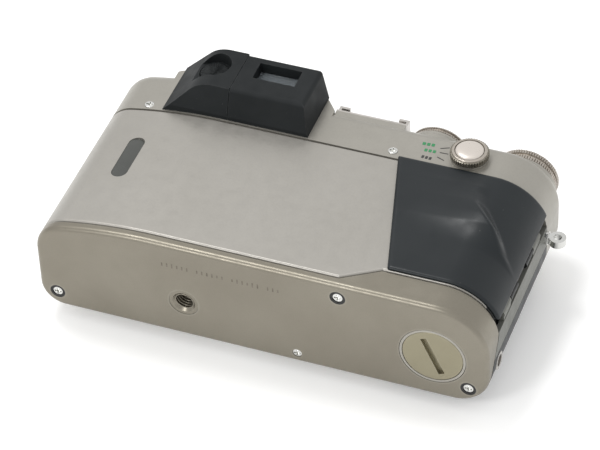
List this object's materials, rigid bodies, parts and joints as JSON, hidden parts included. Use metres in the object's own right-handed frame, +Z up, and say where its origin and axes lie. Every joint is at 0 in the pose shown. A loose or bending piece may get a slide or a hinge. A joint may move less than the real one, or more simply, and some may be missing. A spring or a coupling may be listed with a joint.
{
  "type": "film camera",
  "caption": "Compact interchangeable-lens film camera body with hinged back door, turning dials, spring buttons, accessory shoe, tripod thread and battery cap.",
  "frame": {"origin": "centre of the overall box, at the level of the base plate", "axes": "+Z up; -Y is the lens side; +Y is the film door; +X is the window and door latch side, -X is the hand grip side"},
  "size_m": [0.1398, 0.045, 0.071],
  "materials": {
    "titanium": "satin champagne titanium",
    "black_grip": "smooth matt",
    "black_housing": "matt black",
    "grey_panel": "satin grey",
    "chassis_black": "matt black",
    "steel": "turned and knurled",
    "bright_steel": "polished",
    "champagne_cap": "turned satin",
    "black_steel": "blackened",
    "glass": "coated",
    "smoked_window": "smoked",
    "lamp_red": "clear red",
    "gold": "gold plated",
    "board_green": "lacquered",
    "cell_silver": "printed sleeve",
    "plastic_black": "moulded"
  },
  "bodies": {
    "camera_body": {"bottom_cover": "titanium", "base_screws": "black_steel", "tripod_socket": "steel", "battery_collar": "titanium", "battery_tube": "plastic_black", "lower_cell": "cell_silver", "upper_cell": "cell_silver", "main_chassis": "chassis_black", "takeup_housing": "chassis_black", "cartridge_housing": "chassis_black", "film_rails": "steel", "shutter_frame": "plastic_black", "shutter_blades": "black_steel", "wind_motor": "steel", "throat_baffle": "chassis_black", "lens_mount_ring": "bright_steel", "mount_screws": "steel", "mount_contacts": "gold", "front_cover": "titanium", "front_grip": "black_grip", "side_panel": "grey_panel", "release_socket": "steel", "hinge_pin": "steel", "top_cover": "titanium", "cover_screws": "steel", "accessory_shoe": "steel", "shoe_contacts": "gold", "eyepiece_housing": "black_housing", "dioptre_housing": "black_housing", "eyepiece_lens": "glass", "viewfinder_block": "plastic_black", "viewfinder_window": "glass", "rangefinder_windows": "smoked_window", "timer_lamp": "lamp_red", "counter_window": "glass", "circuit_board": "board_green", "grip_side_lug": "bright_steel", "latch_side_lug": "bright_steel"},
    "film_door": {"back_door": "titanium", "thumb_grip": "black_grip", "film_window": "smoked_window", "pressure_plate": "black_steel", "plate_spring": "steel"},
    "latch": {"door_latch": "titanium"},
    "focus_selector": {"focus_dial": "steel"},
    "focus_button": {"focus_lock_button": "bright_steel"},
    "exposure_selector": {"exposure_dial": "steel"},
    "bracket_selector": {"bracket_lever": "titanium"},
    "shutter_selector": {"shutter_dial": "steel"},
    "power_switch": {"main_switch": "titanium"},
    "release": {"release_button": "bright_steel"},
    "mode_key": {"mode_button": "black_housing"},
    "dioptre_control": {"dioptre_wheel": "plastic_black"},
    "lens_release": {"lens_release_button": "titanium"},
    "lock_pin": {"lens_lock_pin": "bright_steel"},
    "focus_drive": {"focus_coupling": "steel"},
    "battery_cap": {"battery_cover": "champagne_cap"},
    "spool": {"takeup_spool": "plastic_black"},
    "sprocket_shaft": {"sprocket": "plastic_black"},
    "fork": {"rewind_fork": "bright_steel"}
  },
  "joints": [
    {"name": "door_hinge", "type": "hinge", "parent": "camera_body", "child": "film_door", "pos_m": [-0.0629, 0.0027, 0.025], "axis": [0, 0, 1], "range_deg": [0, 90]},
    {"name": "latch_slide", "type": "slide", "parent": "camera_body", "child": "latch", "axis": [0, 0, -1], "range_m": [0, 0.004], "stiffness_N_per_m": 150, "springref_m": -0.002},
    {"name": "focus_turn", "type": "hinge", "parent": "camera_body", "child": "focus_selector", "pos_m": [-0.04, 0.016, 0.0583], "axis": [0, 1, 0], "range_deg": [-90, 30]},
    {"name": "focus_button_press", "type": "slide", "parent": "focus_selector", "child": "focus_button", "axis": [0, -1, 0], "range_m": [0, 0.0006], "stiffness_N_per_m": 300, "springref_m": -0.0005},
    {"name": "exposure_turn", "type": "hinge", "parent": "camera_body", "child": "exposure_selector", "pos_m": [-0.0282, 0.0042, 0.067], "axis": [0, 0, 1], "range_deg": [-135, 135]},
    {"name": "bracket_turn", "type": "hinge", "parent": "camera_body", "child": "bracket_selector", "pos_m": [-0.0282, 0.0042, 0.066], "axis": [0, 0, 1], "range_deg": [0, 40]},
    {"name": "shutter_turn", "type": "hinge", "parent": "camera_body", "child": "shutter_selector", "pos_m": [-0.0532, 0.0018, 0.067], "axis": [0, 0, 1], "range_deg": [-150, 150]},
    {"name": "switch_turn", "type": "hinge", "parent": "camera_body", "child": "power_switch", "pos_m": [-0.046, -0.0116, 0.066], "axis": [0, 0, 1], "range_deg": [-30, 30]},
    {"name": "release_press", "type": "slide", "parent": "camera_body", "child": "release", "axis": [0, 0, -1], "range_m": [0, 0.0012], "stiffness_N_per_m": 250, "springref_m": -0.001},
    {"name": "mode_press", "type": "slide", "parent": "camera_body", "child": "mode_key", "axis": [0, 0, -1], "range_m": [0, 0.0006], "stiffness_N_per_m": 300, "springref_m": -0.0005},
    {"name": "dioptre_turn", "type": "hinge", "parent": "camera_body", "child": "dioptre_control", "pos_m": [0.0363, 0.019, 0.0642], "axis": [0, 1, 0], "range_deg": [-60, 60]},
    {"name": "lens_release_press", "type": "slide", "parent": "camera_body", "child": "lens_release", "axis": [0, 1, 0], "range_m": [0, 0.0018], "stiffness_N_per_m": 250, "springref_m": -0.001},
    {"name": "lock_pin_slide", "type": "slide", "parent": "camera_body", "child": "lock_pin", "axis": [0, 1, 0], "range_m": [0, 0.0012], "stiffness_N_per_m": 50, "springref_m": -0.0005},
    {"name": "focus_drive_turn", "type": "hinge", "parent": "camera_body", "child": "focus_drive", "pos_m": [-0.01144, -0.02, 0.017], "axis": [0, 1, 0], "continuous": true},
    {"name": "battery_cap_turn", "type": "hinge", "parent": "camera_body", "child": "battery_cap", "pos_m": [-0.0488, -0.0041, 0.001], "axis": [0, 0, -1], "range_deg": [0, 90]},
    {"name": "spool_turn", "type": "hinge", "parent": "camera_body", "child": "spool", "pos_m": [-0.028, -0.0005, 0.028], "axis": [0, 0, 1], "continuous": true},
    {"name": "sprocket_turn", "type": "hinge", "parent": "camera_body", "child": "sprocket_shaft", "pos_m": [-0.0142, 0.0041, 0.028], "axis": [0, 0, 1], "continuous": true},
    {"name": "fork_turn", "type": "hinge", "parent": "camera_body", "child": "fork", "pos_m": [0.047, -0.0015, 0.048], "axis": [0, 0, 1], "continuous": true}
  ],
  "couplings": [
    {"joint": "lock_pin_slide", "follows": "lens_release_press", "ratio": 0.65},
    {"joint": "sprocket_turn", "follows": "spool_turn", "ratio": 1.857}
  ]
}
